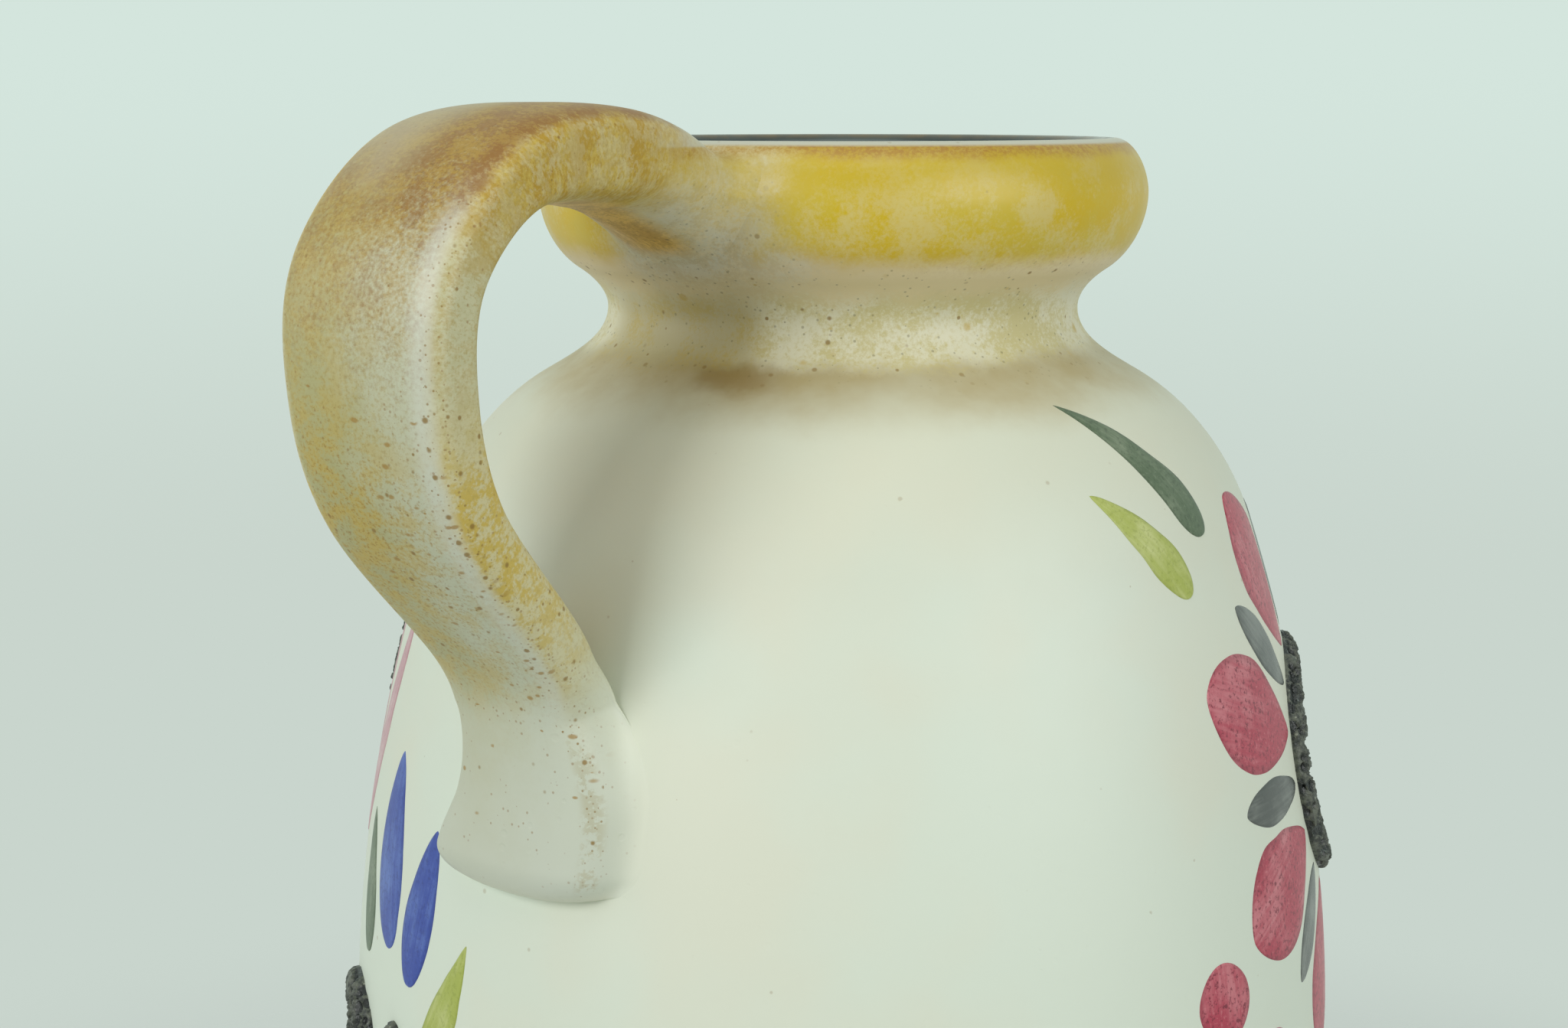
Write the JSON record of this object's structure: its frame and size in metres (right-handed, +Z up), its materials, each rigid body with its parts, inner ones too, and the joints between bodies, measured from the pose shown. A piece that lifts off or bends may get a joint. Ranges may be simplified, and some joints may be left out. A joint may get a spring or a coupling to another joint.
{
  "type": "handled vase",
  "caption": "Tall handled ceramic vase with a rolled rim, a wide strap handle, a cream wall, trailed black lava glaze and brushed folk flowers; holds cut stems and stands on a foot ring.",
  "frame": {"origin": "centre of the foot ring, on the plane that the vase stands on", "axes": "+Z up along the vase's axis, -X towards the handle, -Y the front"},
  "size_m": [0.2199, 0.1919, 0.3057],
  "materials": {
    "cream_glaze": "satin",
    "strap_glaze": "satin",
    "inner_glaze": "gloss",
    "luting_slip": "matte",
    "lava_glaze": "satin",
    "crimson_enamel": "satin",
    "charcoal_enamel": "gloss",
    "yellow_enamel": "satin",
    "green_enamel": "satin",
    "lime_enamel": "satin",
    "blue_enamel": "satin",
    "rose_enamel": "satin"
  },
  "bodies": {
    "root": {"body_casting": "cream_glaze", "inner_glaze": "inner_glaze", "strap_handle": "strap_glaze", "upper_luting_slip": "luting_slip", "lower_luting_slip": "luting_slip", "front_lava_ring": "lava_glaze", "front_lava_stem": "lava_glaze", "front_lava_curls": "lava_glaze", "front_crimson_petals": "crimson_enamel", "front_charcoal_strokes": "charcoal_enamel", "front_yellow_heart": "yellow_enamel", "front_green_leaves": "green_enamel", "front_lime_leaves": "lime_enamel", "front_crimson_berries": "crimson_enamel", "back_lava_cup": "lava_glaze", "back_lava_stem": "lava_glaze", "back_lava_branch": "lava_glaze", "back_lava_curls": "lava_glaze", "back_blue_petals": "blue_enamel", "back_rose_strokes": "rose_enamel", "back_yellow_drops": "yellow_enamel", "back_green_leaves": "green_enamel", "back_lime_leaves": "lime_enamel", "side_lava_stem": "lava_glaze", "side_blue_bud": "blue_enamel", "side_green_leaves": "green_enamel", "side_lime_leaves": "lime_enamel"}
  },
  "joints": []
}
